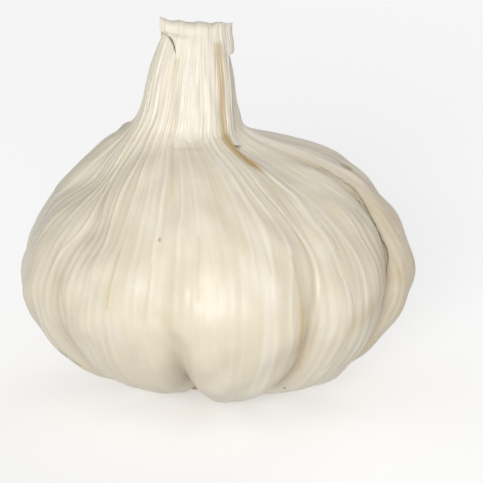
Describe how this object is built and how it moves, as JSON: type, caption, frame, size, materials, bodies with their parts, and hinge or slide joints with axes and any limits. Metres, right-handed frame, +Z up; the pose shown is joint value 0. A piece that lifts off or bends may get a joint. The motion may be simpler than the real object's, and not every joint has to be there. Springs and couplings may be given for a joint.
{
  "type": "garlic bulb",
  "caption": "Whole dried head of garlic in papery skin, with its cloves bulging under the wrapper leaves, a cut neck and a trimmed root plate to rest on.",
  "frame": {"origin": "centre of the flat underside of the root plate, on the surface that the head rests on", "axes": "+Z up along the head from the root plate to the neck, -Y towards the front of the head, +X to the right as seen from the front"},
  "size_m": [0.0616, 0.0575, 0.0596],
  "materials": {
    "inner_skin": "pale cream papery inner skin over the cloves, with fine fibres from neck to root, satin",
    "front_leaf": "dry off-white outer wrapper leaf with raised veins, golden brown along its edge, satin",
    "right_leaf": "dry greyish cream wrapper leaf with an olive brown torn edge, satin",
    "neck_leaf": "fibrous pale straw leaf base folded over the neck, matt",
    "root_plate": "dry corky brown root plate with close-cut root stubs, matt"
  },
  "bodies": {
    "root": {"wrapped_bulb": "inner_skin", "front_wrapper_leaf": "front_leaf", "right_wrapper_leaf": "right_leaf", "neck_fold_leaf": "neck_leaf", "root_plate": "root_plate"}
  },
  "joints": []
}
